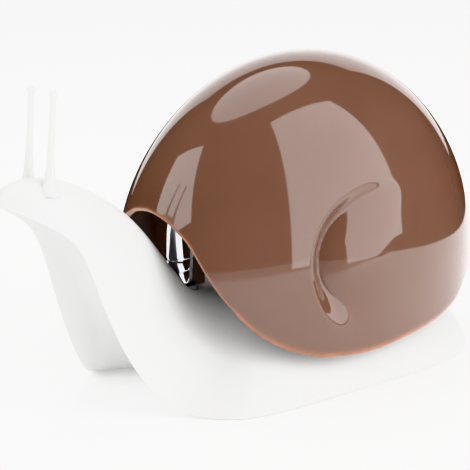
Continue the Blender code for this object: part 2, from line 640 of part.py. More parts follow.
def main():
    clear_scene()
    white = material("body white", (245, 245, 244), 0.45)
    mats = {
        "white": material("pump white", (236, 236, 232), 0.4),
        "clear": material("clear plastic", (225, 232, 235), 0.2, alpha=0.5),
        "rubber": material("rubber", (40, 40, 42), 0.8),
        "steel": material("steel", (180, 180, 182), 0.3, 1.0),
        "chrome": material("chrome", (200, 202, 206), 0.08, 1.0),
        "grey": material("grey plastic", (120, 122, 126), 0.5),
    }
    make_body(white)
    make_feeler("antenna_left", 1, white)
    make_feeler("antenna_right", -1, white)
    make_base(mats["white"], mats["rubber"], mats["steel"])
    make_bottle(mats["clear"])
    make_pump(mats)
    make_pump_head(mats)
    make_outlet(mats)
    make_shell(material("shell brown", (121, 83, 62), 0.12))
    press = group_under("press_axis", at(0, PUMP_Y, ACTUATOR_TOP) / 1000,
                        ("actuator", "pump_stem", "pump_piston", "spout_pipe"))
    group_under("shell_axis", at(0, PUMP_Y, SHELL_Z + SHELL_RZ) / 1000, ("shell_cover",), press)


main()
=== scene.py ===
"""The looks of the snail soap dispenser: finer surfaces, materials, light and camera.
"""
import json
import math

import bmesh
import bpy
from mathutils import Matrix, Vector


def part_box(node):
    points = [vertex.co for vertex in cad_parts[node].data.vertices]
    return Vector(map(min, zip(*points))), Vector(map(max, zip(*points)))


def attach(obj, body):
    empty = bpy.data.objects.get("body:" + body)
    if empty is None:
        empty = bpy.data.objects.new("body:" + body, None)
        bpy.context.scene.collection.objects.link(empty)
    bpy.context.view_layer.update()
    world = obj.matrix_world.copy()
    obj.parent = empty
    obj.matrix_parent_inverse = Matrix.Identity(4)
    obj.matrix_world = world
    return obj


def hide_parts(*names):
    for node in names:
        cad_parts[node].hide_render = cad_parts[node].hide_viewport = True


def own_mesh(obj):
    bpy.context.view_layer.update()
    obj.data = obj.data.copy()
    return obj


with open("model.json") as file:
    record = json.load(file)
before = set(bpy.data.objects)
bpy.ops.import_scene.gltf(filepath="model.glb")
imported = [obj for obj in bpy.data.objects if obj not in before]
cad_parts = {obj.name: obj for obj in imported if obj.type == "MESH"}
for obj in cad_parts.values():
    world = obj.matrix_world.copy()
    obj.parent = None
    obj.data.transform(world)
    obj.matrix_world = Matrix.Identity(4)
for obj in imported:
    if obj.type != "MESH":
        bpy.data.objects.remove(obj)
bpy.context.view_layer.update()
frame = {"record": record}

# ---------------------------------------------------------------- driving dimensions, millimetres
METRES = 0.001                          # a millimetre in metres
FLOOR_GAP = 0.5
SHELL_Y, SHELL_Z = 26.7, 31.9
SHELL_RX, SHELL_RY, SHELL_RZ = 44.0, 67.3, 69.1
SHELL_LOW = 110.0                       # the height radius below the dome's widest level
SHELL_WALL = 2.0
SKIN = 0.06                             # the visual dome keeps this far inside the CAD one
DOME_COLUMNS, ROWS_OUT, ROWS_IN, LIP_STEPS = 420, 156, 70, 5
DOME_CROWD, ROW_CROWD = 0.22, 1.1       # columns crowd on the whorls, rows at the rim
RIM_PASSES = 6                          # rounds of smoothing along the rim
OUTER_SHARE = 0.6                       # of the wall has the glossy outside material
PAINTED_GLOW_HEIGHTS = (0.2, 1.7)               # the rim's painted glow is full below the first and gone above the second
WHORL_Y, WHORL_Z, WHORL_R = 24.0, 42.0, 26.7
WHORL_BULGE, WHORL_SHIFT, WHORL_STEP = 0.0080, 3.2, 4.4
PUMP_Y = 24.4
PUMP_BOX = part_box("pump_collar")
CENTRE_Y = PUMP_Y - (PUMP_BOX[0][1] + PUMP_BOX[1][1]) / 2 / METRES      # from the pump's place in the frame
ACTUATOR_TOP = 92.0
PIPE_Y = -22.5
MOUTH_Y = -78.2
BOSS_R, SOCKET_GAP = 9.0, 0.3
BOSS_OUTLINE = [(84.0, 11.6), (97.2, 11.6), (99.0, 7.0), (100.0, 2.0)]      # height, radius
SLOT_SIZE, SLOT_CENTRE = (9.6, 14.0, 10.4), (0.0, 15.4, 85.0)   # where the pipe leaves the socket
BOTTLE_R, WELL_GAP = 28.5, 0.8
FEELER_X = 5.4
FEELER_BASE = (-74.1, 73.2)
FEELER_TIP = (-72.1, 99.1)
POSTS = [(26.0, -4.0), (-26.0, -4.0), (23.0, 60.0), (-23.0, 60.0)]
FEET = {"foot_front_left": (27.0, 8.0), "foot_front_right": (-27.0, 8.0),
        "foot_rear_left": (16.0, 69.0), "foot_rear_right": (-16.0, 69.0)}

# Stations of the body, nose to tail. Each row has the ridge point (Y, Z), the lower edge point
# (X, Y, Z), how far the ridge stays flat sideways, how far the edge keeps its slope, the slope in
# degrees, and the middle of the underside (Y, Z).
STATIONS = [
    (-88.25, 70.4, 1.2, -88.25, 69.3, 0.8, 0.5, 80, -88.2, 69.0),
    (-87.2, 72.6, 3.9, -86.8, 68.2, 2.6, 2.0, 80, -86.4, 68.5),
    (-83.5, 74.6, 6.4, -83.8, 66.4, 4.5, 3.6, 85, -82.4, 67.4),
    (-77.5, 75.2, 8.5, -79.0, 63.6, 6.0, 5.0, 90, -76.2, 65.9),
    (-70.0, 74.2, 10.3, -73.0, 59.7, 7.0, 6.0, 92, -68.8, 63.0),
    (-61.5, 71.0, 11.5, -68.5, 55.0, 8.0, 7.0, 92, -62.0, 58.3),
    (-53.0, 66.3, 12.0, -65.0, 47.5, 9.0, 8.5, 90, -55.5, 50.6),
    (-44.5, 60.0, 12.8, -61.5, 37.5, 10.0, 10.5, 85, -49.0, 39.8),
    (-36.0, 51.0, 14.2, -57.0, 25.5, 11.0, 12.0, 76, -42.0, 27.3),
    (-28.5, 41.5, 16.8, -51.0, 13.5, 12.0, 12.0, 68, -33.0, 14.6),
    (-21.5, 34.0, 22.0, -43.0, 3.8, 14.0, 12.0, 60, -23.5, 4.6),
    (-12.0, 30.5, 29.3, -36.0, FLOOR_GAP, 17.0, 11.0, 60, -18.0, FLOOR_GAP),
    (-2.0, 29.5, 36.6, -28.5, FLOOR_GAP, 21.0, 10.0, 64, -12.0, FLOOR_GAP),
    (10.0, 29.0, 39.8, -14.0, FLOOR_GAP, 23.0, 9.5, 72, -3.0, FLOOR_GAP),
    (22.0, 29.0, 40.4, 4.0, FLOOR_GAP, 24.0, 9.5, 76, 10.0, FLOOR_GAP),
    (38.0, 28.5, 40.4, 26.0, FLOOR_GAP, 24.0, 9.5, 77, 30.0, FLOOR_GAP),
    (54.0, 26.5, 40.0, 46.0, FLOOR_GAP, 23.0, 9.0, 76, 48.0, FLOOR_GAP),
    (68.0, 22.5, 37.4, 62.5, FLOOR_GAP, 21.0, 8.0, 74, 63.5, FLOOR_GAP),
    (77.6, 16.3, 30.4, 76.0, FLOOR_GAP, 16.5, 6.5, 70, 76.0, FLOOR_GAP),
    (83.8, 9.4, 18.2, 85.3, FLOOR_GAP, 9.5, 4.0, 66, 85.3, FLOOR_GAP),
    (88.6, 2.2, 2.2, 89.8, FLOOR_GAP, 1.2, 0.8, 62, 89.8, FLOOR_GAP),
]
BOTTOM_STATION = 11         # from here back the lower edge lies on the ground

HOLLOW = [
    (-13.5, 27.6, 28.0, 15.0), (-6.0, 27.0, 33.0, 19.0), (10.0, 26.6, 36.6, 22.0),
    (40.0, 26.0, 37.2, 22.5), (56.0, 23.5, 35.6, 20.0), (67.0, 19.5, 31.5, 16.0),
    (76.0, 14.0, 24.5, 11.0), (82.0, 8.5, 15.0, 7.0),
]

# Rim of the dome: angle round the dome from the front, height.
RIM = [
    (0.0, 58.8), (9.0, 57.6), (17.4, 54.3), (23.5, 50.7), (27.5, 46.2), (32.3, 40.1),
    (38.8, 32.4), (47.0, 23.9), (57.3, 17.5), (69.7, 13.6), (82.2, 12.9), (97.6, 14.5),
    (112.5, 16.5), (124.5, 19.2), (132.7, 23.7), (155.0, 28.0), (180.0, 30.0),
]

PIPE_BEND = [(12.0, 85.5), (2.0, 83.9), (-8.0, 79.0), (-16.5, 70.5), (-21.3, 60.0), (PIPE_Y, 50.0)]
HOSE = [
    (-30.2, 25.4), (-33.9, 29.3), (-38.5, 37.0), (-45.3, 48.8), (-53.6, 58.2),
    (-61.7, 64.6), (-69.0, 68.9), (-74.2, 69.9),
]


# Shell colours: the mass, its darker clouds, and an orange glow painted at the thin rim, standing in for
# light that passes through it.
SHELL_BROWN, SHELL_DEEP, SHELL_PAINTED_GLOW = (103, 76, 64), (99, 73, 61), (180, 116, 80)

# ---------------------------------------------------------------- helpers for shape
def at(x, y, z):
    """A point of the shape, moved so that the bounding box's centre is over the origin."""
    return Vector((x, y - CENTRE_Y, z))


def smoothstep(low, high, value):
    """0 at low, 1 at high, and smooth between them."""
    t = max(0.0, min(1.0, (value - low) / (high - low)))
    return t * t * (3 - 2 * t)


def sample(rows, s, keys=None):
    """The rows at position s, by monotone cubic interpolation over keys (0, 1, 2 ... by default)."""
    keys = keys or list(range(len(rows)))
    k = max(i for i in range(len(keys) - 1) if keys[i] <= s or i == 0)
    width = keys[k + 1] - keys[k]
    t = (s - keys[k]) / width
    out = []
    for c in range(len(rows[0])):
        def slope(i):
            return (rows[i + 1][c] - rows[i][c]) / (keys[i + 1] - keys[i])

        def tangent(i):
            if i == 0:
                return slope(0)
            if i == len(rows) - 1:
                return slope(i - 1)
            before, after = slope(i - 1), slope(i)
            return 0.0 if before * after <= 0 else 2 * before * after / (before + after)

        a, b = rows[k][c], rows[k + 1][c]
        ta, tb = tangent(k) * width, tangent(k + 1) * width
        out.append(a * (2 * t**3 - 3 * t**2 + 1) + ta * (t**3 - 2 * t**2 + t)
                   + b * (3 * t**2 - 2 * t**3) + tb * (t**3 - t**2))
    return tuple(out)


def smooth_rows(rows, count, passes=0):
    """Rows resampled to count, then averaged with their neighbours a number of times."""
    out = [sample(rows, i * (len(rows) - 1) / (count - 1)) for i in range(count)]
    for _ in range(passes):
        inner = [tuple((a + 2 * b + c) / 4 for a, b, c in zip(p, q, r))
                 for p, q, r in zip(out, out[1:], out[2:])]
        out = [out[0]] + inner + [out[-1]]
    return out


def bezier(points, t):
    """A point of the cubic curve through four control points."""
    weights = ((1 - t) ** 3, 3 * t * (1 - t) ** 2, 3 * t * t * (1 - t), t**3)
    return sum((Vector(p) * w for p, w in zip(points, weights)), Vector())


def mesh_from(name, rings, close=False):
    """Join rings of equal length into a closed mesh, with fans over both ends unless it is a loop."""
    bm = bmesh.new()
    loops = [[bm.verts.new(point) for point in ring] for ring in rings]
    count = len(loops[0])
    pairs = list(zip(loops, loops[1:]))
    if close:
        pairs.append((loops[-1], loops[0]))
    for low, high in pairs:
        for i in range(count):
            j = (i + 1) % count
            bm.faces.new((low[i], low[j], high[j], high[i]))
    if not close:
        for loop in (loops[0], loops[-1]):
            middle = bm.verts.new(sum((v.co for v in loop), Vector()) / count)
            for i in range(count):
                bm.faces.new((loop[i], loop[(i + 1) % count], middle))
    bmesh.ops.recalc_face_normals(bm, faces=bm.faces)
    mesh = bpy.data.meshes.new(name)
    bm.to_mesh(mesh)
    bm.free()
    return mesh


def circle(centre, radius, count, along=Vector((0, 0, 1))):
    """Points round a circle square to a direction."""
    along = along.normalized()
    side = Vector((1, 0, 0))
    up = along.cross(side)
    step = 2 * math.pi / count
    return [centre + radius * (side * math.cos(i * step) + up * math.sin(i * step))
            for i in range(count)]


def rounded(profile, radius=0.4, loop=False, points=3):
    """The profile with each corner turned into a small arc."""
    out = []
    last = len(profile) - 1
    for i, corner in enumerate(profile):
        if not loop and i in (0, last):
            out.append(corner)
            continue
        here = Vector(corner)
        before = Vector(profile[i - 1]) - here
        after = Vector(profile[(i + 1) % len(profile)]) - here
        reach = min(radius, before.length * 0.45, after.length * 0.45)
        a, b = here + before.normalized() * reach, here + after.normalized() * reach
        for k in range(points + 1):
            t = k / points
            out.append(tuple(a * (1 - t) ** 2 + here * 2 * t * (1 - t) + b * t * t))
    return out


def turned(name, profile, centre, count=64, along=Vector((0, 0, 1)), loop=False):
    """A turned piece: (distance along the axis, radius) pairs about an axis through centre."""
    rings = [circle(centre + along.normalized() * z, r, count, along) for z, r in profile]
    return mesh_from(name, rings, close=loop)


def tube(name, path, radii, bore, count=32):
    """A hollow tube along a path, one outside radius per point."""
    aim = [(path[min(i + 1, len(path) - 1)] - path[max(i - 1, 0)]) for i in range(len(path))]
    outside = [circle(p, r, count, d) for p, r, d in zip(path, radii, aim)]
    inside = [circle(p, bore, count, d) for p, d in zip(path, aim)]
    return mesh_from(name, outside + inside[::-1], close=True)


def smooth_path(points, steps):
    """Points along a Catmull-Rom curve through (Y, Z) pairs in the middle plane."""
    pts = [at(0, *p) for p in points]
    ends = [2 * pts[0] - pts[1]] + pts + [2 * pts[-1] - pts[-2]]
    out = []
    for a, b, c, d in zip(ends, ends[1:], ends[2:], ends[3:]):
        for i in range(steps):
            t = i / steps
            out.append(0.5 * (2 * b + (c - a) * t + (2 * a - 5 * b + 4 * c - d) * t**2
                              + (3 * b - 3 * c + d - a) * t**3))
    return out + [pts[-1]]


def combined(mesh, *operations):
    """The mesh after exact Booleans with (operation, other mesh) pairs, one after another."""
    for kind, other in operations:
        obj = bpy.data.objects.new("base", mesh)
        cutter = bpy.data.objects.new("cutter", other)
        for item in (obj, cutter):
            bpy.context.collection.objects.link(item)
        modifier = obj.modifiers.new("cut", "BOOLEAN")
        modifier.operation = kind
        modifier.solver = "EXACT"
        modifier.object = cutter
        flat = obj.modifiers.new("triangles", "TRIANGULATE")
        flat.min_vertices = 5
        bpy.context.view_layer.update()
        graph = bpy.context.evaluated_depsgraph_get()
        mesh = bpy.data.meshes.new_from_object(obj.evaluated_get(graph))
        for item in (obj, cutter):
            bpy.data.objects.remove(item, do_unlink=True)
    return mesh


def block(size, centre):
    """A box as a mesh, for cutting slots."""
    bm = bmesh.new()
    bmesh.ops.create_cube(bm, size=1.0)
    bmesh.ops.scale(bm, vec=size, verts=bm.verts)
    bmesh.ops.translate(bm, vec=centre, verts=bm.verts)
    mesh = bpy.data.meshes.new("block")
    bm.to_mesh(mesh)
    bm.free()
    return mesh


def rod(y, z_low, z_high, radius, x=0.0, count=48):
    """An upright round bar, for cutting holes."""
    return turned("rod", [(z_low, radius), (z_high, radius)], at(x, y, 0), count)


def finish(name, mesh, mat, node, angle=35.0):
    """Link a mesh as a piece in metres that stands for a CAD node and rides on its body."""
    mesh.transform(Matrix.Scale(METRES, 4))
    mesh.materials.clear()
    mesh.materials.append(mat)
    mesh.shade_smooth()
    mesh.set_sharp_from_angle(angle=math.radians(angle))
    piece = bpy.data.objects.new(name, mesh)
    bpy.context.collection.objects.link(piece)
    body = next(b for b, nodes in frame["record"]["behaviour"]["bodies"].items() if node in nodes)
    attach(piece, body)
    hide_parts(node)
    return piece


# ---------------------------------------------------------------- materials
def linear(colour):
    """An sRGB colour in 0 to 255 as linear RGBA."""
    return tuple(((c / 255 + 0.055) / 1.055) ** 2.4 if c > 10 else c / 255 / 12.92
                 for c in colour) + (1.0,)


class Surface:
    """A Principled material with helpers for the node patterns that feed it."""

    def __init__(self, name, **sockets):
        self.mat = bpy.data.materials.new(name)
        self.mat.use_nodes = True
        self.nodes = self.mat.node_tree.nodes
        self.links = self.mat.node_tree.links
        self.shader = self.nodes["Principled BSDF"]
        self.coords = self.nodes.new("ShaderNodeTexCoord")
        for socket, value in sockets.items():
            self.shader.inputs[socket.replace("_", " ")].default_value = value

    def noise(self, scale, detail=3.0, roughness=0.5, stretch=(1, 1, 1)):
        """Noise in object space. Scale is in cycles per metre."""
        mapping = self.nodes.new("ShaderNodeMapping")
        mapping.inputs["Scale"].default_value = stretch
        node = self.nodes.new("ShaderNodeTexNoise")
        node.inputs["Scale"].default_value = scale
        node.inputs["Detail"].default_value = detail
        node.inputs["Roughness"].default_value = roughness
        self.links.new(self.coords.outputs["Object"], mapping.inputs["Vector"])
        self.links.new(mapping.outputs["Vector"], node.inputs["Vector"])
        return node.outputs["Fac"]

    def between(self, value, low, high, out_low, out_high):
        """A value mapped from one range to another, clamped."""
        node = self.nodes.new("ShaderNodeMapRange")
        for socket, number in zip(("From Min", "From Max", "To Min", "To Max"),
                                  (low, high, out_low, out_high)):
            node.inputs[socket].default_value = number
        self.links.new(value, node.inputs["Value"])
        return node.outputs["Result"]

    def times(self, a, b):
        node = self.nodes.new("ShaderNodeMath")
        node.operation = "MULTIPLY"
        self.links.new(a, node.inputs[0])
        self.links.new(b, node.inputs[1])
        return node.outputs[0]

    def mixed(self, factor, first, second):
        """Two colours mixed by a factor. Either may be a colour or an output."""
        node = self.nodes.new("ShaderNodeMix")
        node.data_type = "RGBA"
        self.links.new(factor, node.inputs["Factor"])
        for socket, colour in (("A", first), ("B", second)):
            target = next(i for i in node.inputs if i.name == socket and i.type == "RGBA")
            if isinstance(colour, tuple):
                target.default_value = colour
            else:
                self.links.new(colour, target)
        return next(o for o in node.outputs if o.type == "RGBA")

    def height(self, axis="Z"):
        """The object-space coordinate along an axis, in metres."""
        split = self.nodes.new("ShaderNodeSeparateXYZ")
        self.links.new(self.coords.outputs["Object"], split.inputs[0])
        return split.outputs[axis]

    def edges(self, low, high):
        """0 on flat stretches, rising to 1 along convex edges."""
        geometry = self.nodes.new("ShaderNodeNewGeometry")
        return self.between(geometry.outputs["Pointiness"], low, high, 0.0, 1.0)

    def colour(self, output):
        self.links.new(output, self.shader.inputs["Base Color"])

    def roughness(self, output):
        self.links.new(output, self.shader.inputs["Roughness"])

    def bump(self, *layers):
        """Bump from (height, distance in metres) layers, one on top of another."""
        normal = None
        for value, distance in layers:
            node = self.nodes.new("ShaderNodeBump")
            node.inputs["Strength"].default_value = 1.0
            node.inputs["Distance"].default_value = distance
            self.links.new(value, node.inputs["Height"])
            if normal:
                self.links.new(normal, node.inputs["Normal"])
            normal = node.outputs["Normal"]
        self.links.new(normal, self.shader.inputs["Normal"])


def body_plastic():
    """White satin plastic: a faint moulded grain, slightly warmer low down, duller where touched."""
    s = Surface("satin_white_plastic", Subsurface_Weight=0.12, Subsurface_Scale=0.002,
                Specular_IOR_Level=0.42)
    s.shader.inputs["Subsurface Radius"].default_value = (1.0, 0.9, 0.8)
    cloud = s.noise(28, 4)
    low = s.between(s.height(), 0.0, 0.012, 1.0, 0.0)
    soil = s.times(low, s.between(s.noise(260, 5, 0.6), 0.45, 0.75, 0.0, 0.5))
    tone = s.mixed(s.between(cloud, 0.35, 0.65, 0.0, 1.0), linear((207, 207, 206)), linear((204, 204, 204)))
    s.colour(s.mixed(soil, tone, linear((206, 203, 197))))
    s.roughness(s.between(s.noise(90, 4), 0.3, 0.7, 0.34, 0.42))
    s.bump((s.noise(2600, 3), 0.000006), (s.noise(420, 2), 0.000010))
    return s.mat


def shell_plastic(name, coat, rough):
    """Brown plastic: glossy outside and satin inside, with an orange glow painted along its thin rim for
    the light that comes through it.
    """
    s = Surface(name, Subsurface_Weight=0.14, Subsurface_Scale=0.003, Coat_Weight=coat,
                Coat_Roughness=0.02, Specular_IOR_Level=0.42)
    s.shader.inputs["Subsurface Radius"].default_value = (1.0, 0.42, 0.18)
    cloud = s.noise(34, 4)
    tone = s.mixed(s.between(cloud, 0.35, 0.65, 0.0, 1.0), linear(SHELL_BROWN), linear(SHELL_DEEP))
    # Painted glow: the base colour turns orange along the rim, standing in for light coming through the
    # thin wall.
    edge = s.nodes.new("ShaderNodeAttribute")
    edge.attribute_name = "painted_rim_glow"
    rim_glow_paint = s.times(edge.outputs["Fac"], s.between(s.noise(140, 2), 0.3, 0.6, 0.35, 0.65))
    s.colour(s.mixed(rim_glow_paint, tone, linear(SHELL_PAINTED_GLOW)))
    scratch = s.between(s.noise(520, 2, 0.5, (1.0, 0.05, 0.6)), 0.66, 0.72, 0.0, 1.0)
    haze = s.between(s.noise(60, 4), 0.3, 0.7, rough, rough + 0.04)
    extra = s.nodes.new("ShaderNodeMath")
    extra.operation = "MULTIPLY_ADD"
    s.links.new(scratch, extra.inputs[0])
    extra.inputs[1].default_value = 0.05
    s.links.new(haze, extra.inputs[2])
    s.roughness(extra.outputs[0])
    s.bump((s.noise(26, 2), 0.00006), (s.noise(300, 2), 0.0000012))
    return s.mat


def chrome():
    """Polished plating with faint turning lines and water spots."""
    s = Surface("polished_chrome", Metallic=1.0)
    spots = s.between(s.noise(900, 3), 0.62, 0.72, 0.0, 1.0)
    s.colour(s.mixed(spots, linear((214, 216, 220)), linear((196, 198, 202))))
    s.roughness(s.between(s.noise(240, 4), 0.3, 0.75, 0.03, 0.11))
    s.bump((s.noise(1500, 2, 0.5, (0.15, 0.15, 2.0)), 0.0000025))
    return s.mat


def moulded(name, colour, rough, grain=0.000008, scale=1800, edge=None):
    """Opaque moulded plastic or rubber with a fine grain and, when an edge colour is given, a slightly
    lighter highlight painted along convex edges.
    """
    s = Surface(name)
    cloud = s.between(s.noise(70, 4), 0.35, 0.65, 0.0, 1.0)
    darker = tuple(c * 0.94 for c in colour)
    tone = s.mixed(cloud, linear(colour), linear(darker))
    # Painted highlight: convex edges take the lighter edge colour.
    if edge:
        tone = s.mixed(s.edges(0.52, 0.60), tone, linear(edge))
    s.colour(tone)
    s.roughness(s.between(s.noise(160, 4), 0.3, 0.7, rough - 0.05, rough + 0.07))
    s.bump((s.noise(scale, 3), grain))
    return s.mat


def clear_plastic(name, colour, rough, weight):
    """Translucent plastic: milky, with flow marks and light scuffs."""
    s = Surface(name, Transmission_Weight=weight, IOR=1.49)
    flow = s.between(s.noise(60, 3, 0.5, (1, 1, 0.25)), 0.35, 0.65, 0.0, 1.0)
    s.colour(s.mixed(flow, linear(colour), linear(tuple(c * 0.96 for c in colour))))
    s.roughness(s.between(s.noise(300, 4), 0.35, 0.7, rough, rough + 0.12))
    s.bump((s.noise(140, 3), 0.00002))
    return s.mat


def steel():
    """Drawn steel with fine lines and dull patches."""
    s = Surface("drawn_steel", Metallic=1.0)
    s.colour(s.mixed(s.between(s.noise(400, 4), 0.4, 0.7, 0.0, 1.0), linear((190, 190, 192)),
                     linear((160, 160, 163))))
    s.roughness(s.between(s.noise(900, 3), 0.3, 0.7, 0.2, 0.38))
    s.bump((s.noise(3000, 2), 0.000003))
    return s.mat


# ---------------------------------------------------------------- body and feelers
ARCH_POINTS, UNDER_POINTS = 30, 18
BODY_RINGS, BODY_PASSES = 150, 6
EDGE_ROUND = 0.55


def body_ring(row):
    """One slanted ring of the body: over the ridge from side to side, and back underneath."""
    ridge_y, ridge_z, edge_x, edge_y, edge_z, flat, keep, slope, under_y, under_z = row
    angle = math.radians(slope)
    rise = min(1.0, keep / (ridge_z - edge_z)) * 0.9
    over = [
        (0, ridge_y, ridge_z),
        (flat, ridge_y, ridge_z),
        (edge_x - keep * math.cos(angle), edge_y + (ridge_y - edge_y) * rise,
         edge_z + keep * math.sin(angle)),
        (edge_x, edge_y, edge_z),
    ]
    under = [
        over[3],
        (edge_x * 0.86, edge_y + 0.35 * (under_y - edge_y), edge_z + 0.35 * (under_z - edge_z)),
        (edge_x * 0.74, under_y, under_z),
        (0, under_y, under_z),
    ]
    half = [bezier(over, i / ARCH_POINTS) for i in range(ARCH_POINTS + 1)]
    half += [bezier(under, i / UNDER_POINTS) for i in range(1, UNDER_POINTS + 1)]
    ring = half + [Vector((-p.x, p.y, p.z)) for p in half[-2:0:-1]]
    return [at(*p) for p in ring]


def body_outside():
    """The closed outer skin, with a small round along both lower edges."""
    count = BODY_RINGS
    rings = [body_ring(row) for row in smooth_rows(STATIONS, count, BODY_PASSES)]
    mesh = mesh_from("body", rings)
    size = len(rings[0])
    bm = bmesh.new()
    bm.from_mesh(mesh)
    bm.verts.ensure_lookup_table()
    edges = []
    for column in (ARCH_POINTS, size - ARCH_POINTS):
        for k in range(4, count - 4):
            a, b = bm.verts[k * size + column], bm.verts[(k + 1) * size + column]
            edges.append(next(e for e in a.link_edges if e.other_vert(a) == b))
    bmesh.ops.bevel(bm, geom=edges, offset=EDGE_ROUND, segments=3, profile=0.6, affect="EDGES",
                    clamp_overlap=True)
    bm.to_mesh(mesh)
    bm.free()
    return mesh


def hollow():
    """The space inside the body, for cutting."""
    rings = []
    for y, ridge, half_width, flat in smooth_rows(HOLLOW, 18):
        over = [(0, y, ridge), (flat, y, ridge), (half_width - 1.8, y, 8.0), (half_width, y, -1.0)]
        half = [bezier(over, i / 10) for i in range(11)]
        ring = half + [Vector((-p.x, p.y, p.z)) for p in half[::-1][:-1]]
        rings.append([at(*p) for p in ring])
    return mesh_from("hollow", rings)


def make_body(mat):
    """The white snail body, open below and under the shell."""
    posts = [("DIFFERENCE", rod(y, 3.5, 40, 4.0, x, 24)) for x, y in POSTS]
    cuts = [("DIFFERENCE", combined(hollow(), *posts))]
    cuts += [("DIFFERENCE", rod(y, 0, 13, 1.5, x, 16)) for x, y in POSTS]
    well = rounded([(7, BOTTLE_R + WELL_GAP), (60, BOTTLE_R + WELL_GAP)])
    cuts.append(("DIFFERENCE", turned("well", well, at(0, PUMP_Y, 0), 96)))
    cuts.append(("DIFFERENCE", rod(PIPE_Y, 11, 45, 5.9)))
    cuts.append(("DIFFERENCE", rod(MOUTH_Y, 60, 72, 2.6)))
    finish("snail_body", combined(body_outside(), *cuts), mat, "body_shell", 50)


def make_feeler(name, side, mat):
    """A feeler: a foot that flares into the head, a thin stalk and a ball at the tip."""
    root, tip = Vector((0, *FEELER_BASE)), Vector((0, *FEELER_TIP))
    along, length = (tip - root).normalized(), (tip - root).length
    ball = 1.3
    stalk = [(-2.4, 3.0), (-1.4, 2.75), (-0.6, 2.35), (0.3, 2.0), (1.6, 1.72), (3.4, 1.48),
             (6.0, 1.24), (10.0, 1.08), (16.0, 0.98), (length - 2.0, 0.9), (length - 1.0, 0.92)]
    turns = [math.radians(a) for a in range(-42, 90, 12)]
    head = [(length + 0.6 + ball * math.sin(a), ball * math.cos(a)) for a in turns]
    mesh = turned(name, stalk + head, at(side * FEELER_X, root.y, root.z), 32, along)
    finish(name + "_piece", mesh, mat, name, 60)


# ---------------------------------------------------------------- shell cover
def whorl(point):
    """How far the inner whorl lies below the dome's own side, at a point on the dome."""
    y, z = point.y - WHORL_Y, point.z - WHORL_Z
    radius = math.hypot(y, z)
    turn = math.atan2(z, -y)
    degrees = math.degrees(turn)
    crease = WHORL_R - 2.4 * smoothstep(10, 75, degrees) + 1.2 * smoothstep(-10, -55, degrees)
    share = smoothstep(-88, 5, degrees) * (1.0 - smoothstep(30, 122, degrees))
    lean = 2.0 * WHORL_SHIFT * max(0.0, math.cos(turn)) / (radius + 6.0)
    mound = WHORL_BULGE * share * radius**2 * (1.0 + lean)
    step = WHORL_STEP + 7.0 * smoothstep(-5, -60, degrees)
    return mound * smoothstep(-0.2, step, crease - radius) * smoothstep(8, 20, abs(point.x))


def dome_frame(turn, lift):
    """A point on the plain dome and the outward normal there."""
    tall = SHELL_RZ if lift > 0 else SHELL_LOW
    x = SHELL_RX * math.sin(turn) * math.cos(lift)
    y = SHELL_Y - SHELL_RY * math.cos(turn) * math.cos(lift)
    z = SHELL_Z + tall * math.sin(lift)
    normal = Vector((x / SHELL_RX**2, (y - SHELL_Y) / SHELL_RY**2, (z - SHELL_Z) / tall**2))
    return Vector((x, y, z)), normal.normalized()


def dome_point(turn, lift, wall):
    """A point on the dome with its whorl, inside it by the wall."""
    point, normal = dome_frame(turn, lift)
    return point - normal * (whorl(point) + wall)


def rim_lift(turn):
    """Where the rim lies on the dome at an angle round it."""
    key = math.degrees(min(turn, 2 * math.pi - turn))
    rim = sample([(z,) for _, z in RIM], key, [a for a, _ in RIM])[0]
    return math.asin((rim - SHELL_Z) / (SHELL_RZ if rim > SHELL_Z else SHELL_LOW))


def make_shell(mats):
    """The brown dome with its whorls, a rounded rim and the socket for the pump head."""
    count = DOME_COLUMNS
    turns = [u + DOME_CROWD * math.sin(2 * u) for u in (2 * math.pi * i / count for i in range(count))]
    lows = [rim_lift(turn) for turn in turns]
    for _ in range(RIM_PASSES):
        lows = [(lows[i - 1] + 2 * lows[i] + lows[(i + 1) % count]) / 4 for i in range(count)]
    half = SHELL_WALL / 2
    lift_in = half / SHELL_RZ

    def ring(part, wall):
        return [at(*dome_point(turn, low + lift_in + (math.pi / 2 - low - lift_in) * part, wall))
                for turn, low in zip(turns, lows)]

    outside = [ring((k / ROWS_OUT) ** ROW_CROWD, SKIN) for k in range(ROWS_OUT)]
    inside = [ring((k / ROWS_IN) ** ROW_CROWD, SHELL_WALL) for k in range(ROWS_IN)]
    edge = []
    for k in range(1, LIP_STEPS):
        a = math.pi * k / LIP_STEPS
        rise, depth = lift_in * (1 - math.sin(a)), SKIN + (half - SKIN / 2) * (1 - math.cos(a))
        edge.append([at(*dome_point(turn, low + rise, depth)) for turn, low in zip(turns, lows)])
    dome = mesh_from("dome", outside[::-1] + edge + inside)

    boss = turned("boss", BOSS_OUTLINE, at(0, PUMP_Y, 0), 60)
    socket = rod(PUMP_Y, BOSS_OUTLINE[0][0] - 4.0, ACTUATOR_TOP + SOCKET_GAP, BOSS_R, count=60)
    slot = block(SLOT_SIZE, at(*SLOT_CENTRE))
    cut_boss = combined(boss, ("DIFFERENCE", socket), ("DIFFERENCE", slot))
    mesh = combined(dome, ("UNION", cut_boss))
    inner = [not on_outside(face.center) for face in mesh.polygons]
    finish("snail_shell", mesh, mats["shell"], "shell_cover", 45)
    mesh.materials.append(mats["shell_inside"])
    mesh.polygons.foreach_set("material_index", [int(flag) for flag in inner])
    # The strength of the painted rim glow at each point, read by the shell material.
    glow = mesh.attributes.new("painted_rim_glow", "FLOAT", "POINT")
    glow.data.foreach_set("value", [painted_rim_glow(v.co / METRES) for v in mesh.vertices])


